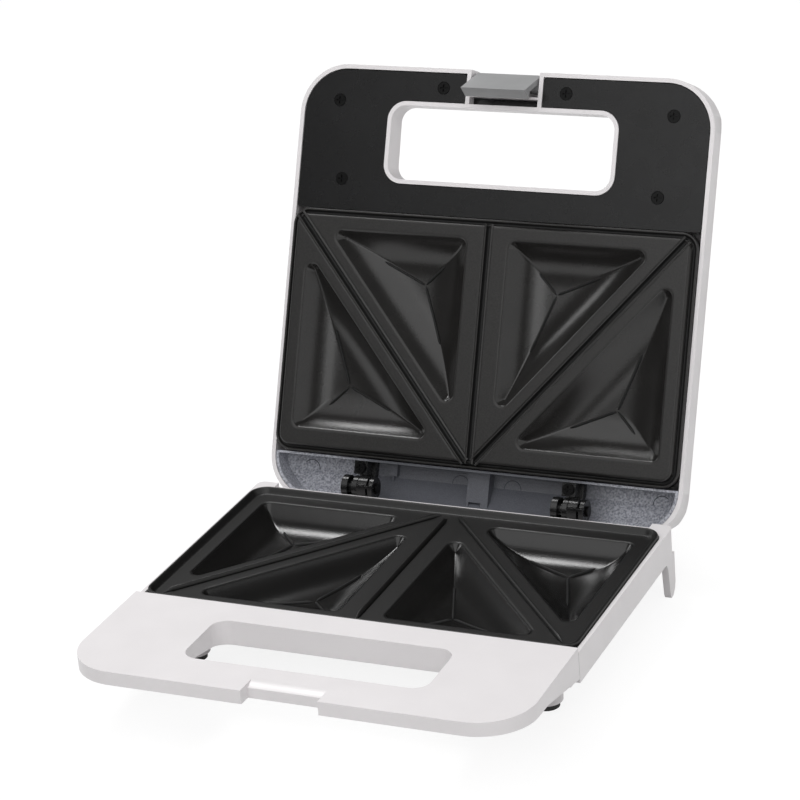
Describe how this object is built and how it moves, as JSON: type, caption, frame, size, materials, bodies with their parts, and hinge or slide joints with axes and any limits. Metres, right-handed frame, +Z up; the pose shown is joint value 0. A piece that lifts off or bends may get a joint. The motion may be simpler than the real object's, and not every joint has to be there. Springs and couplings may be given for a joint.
{
  "type": "sandwich toaster",
  "caption": "Open countertop sandwich toaster with diagonal pocket plates, hinged domed lid, slotted handles and a spring latch.",
  "frame": {"origin": "centre of the open toaster's footprint, on the worktop", "axes": "+Z up, +Y from the front handle to the hinges, +X to the right of a person who stands at the handle"},
  "size_m": [0.23, 0.3282, 0.2383],
  "materials": {
    "white_shell": "satin moulded white plastic with a faint warm tint",
    "black_plastic": "satin black heat-resistant plastic",
    "grey_plastic": "satin mid-grey plastic",
    "slate_plastic": "blue-grey plastic with a fine spark texture",
    "plate_coating": "cast aluminium with a dark satin non-stick coating",
    "steel": "plain zinc-plated steel",
    "black_steel": "blackened steel",
    "bright_sheet": "bright aluminised sheet",
    "rubber": "matt black rubber",
    "ceramic": "unglazed cream ceramic",
    "red_lens": "clear red plastic",
    "green_lens": "clear green plastic",
    "lamp_glass": "small glass neon bulb"
  },
  "bodies": {
    "base": {"base_shell": "white_shell", "base_handle_cover": "white_shell", "base_handle_screws": "steel", "rubber_feet": "rubber", "lower_plate": "plate_coating", "lower_heater": "steel", "lower_reflector": "bright_sheet", "lower_heater_clips": "bright_sheet", "plate_screws": "steel", "thermostat": "black_plastic", "terminal_block": "ceramic", "cord_bush": "black_plastic", "base_hinge_left": "black_plastic", "base_hinge_right": "black_plastic", "base_hinge_screws": "steel", "hinge_pin_left": "steel", "hinge_pin_right": "steel"},
    "lid": {"lid_shell": "white_shell", "lid_handle_cover": "black_plastic", "cover_screws": "black_steel", "lid_liner": "slate_plastic", "lid_hinge_left": "black_plastic", "lid_hinge_right": "black_plastic", "lid_hinge_screws": "steel", "upper_plate": "plate_coating", "upper_heater": "steel", "upper_reflector": "bright_sheet", "upper_heater_clips": "bright_sheet", "plate_tab_screws": "steel", "thermal_fuse": "bright_sheet", "power_lens": "red_lens", "ready_lens": "green_lens", "pilot_lamps": "lamp_glass", "latch_spring": "steel"},
    "latch_pin": {"latch_pin": "steel"},
    "latch": {"latch": "grey_plastic"}
  },
  "joints": [
    {"name": "lid_hinge", "type": "hinge", "parent": "base", "child": "lid", "pos_m": [0, 0.06061, 0.0363], "axis": [1, 0, 0], "range_deg": [0, 113.3]},
    {"name": "latch_set", "type": "hinge", "parent": "lid", "child": "latch_pin", "pos_m": [0, 0.15709, 0.23048], "axis": [-1, 0, 0], "range_deg": [0, 24.6]},
    {"name": "latch_release", "type": "hinge", "parent": "latch_pin", "child": "latch", "pos_m": [0, 0.15709, 0.23048], "axis": [-1, 0, 0], "range_deg": [0, 14], "stiffness_Nm_per_rad": 0.03}
  ],
  "couplings": [
    {"joint": "latch_set", "follows": "lid_hinge", "ratio": 0.21712}
  ]
}
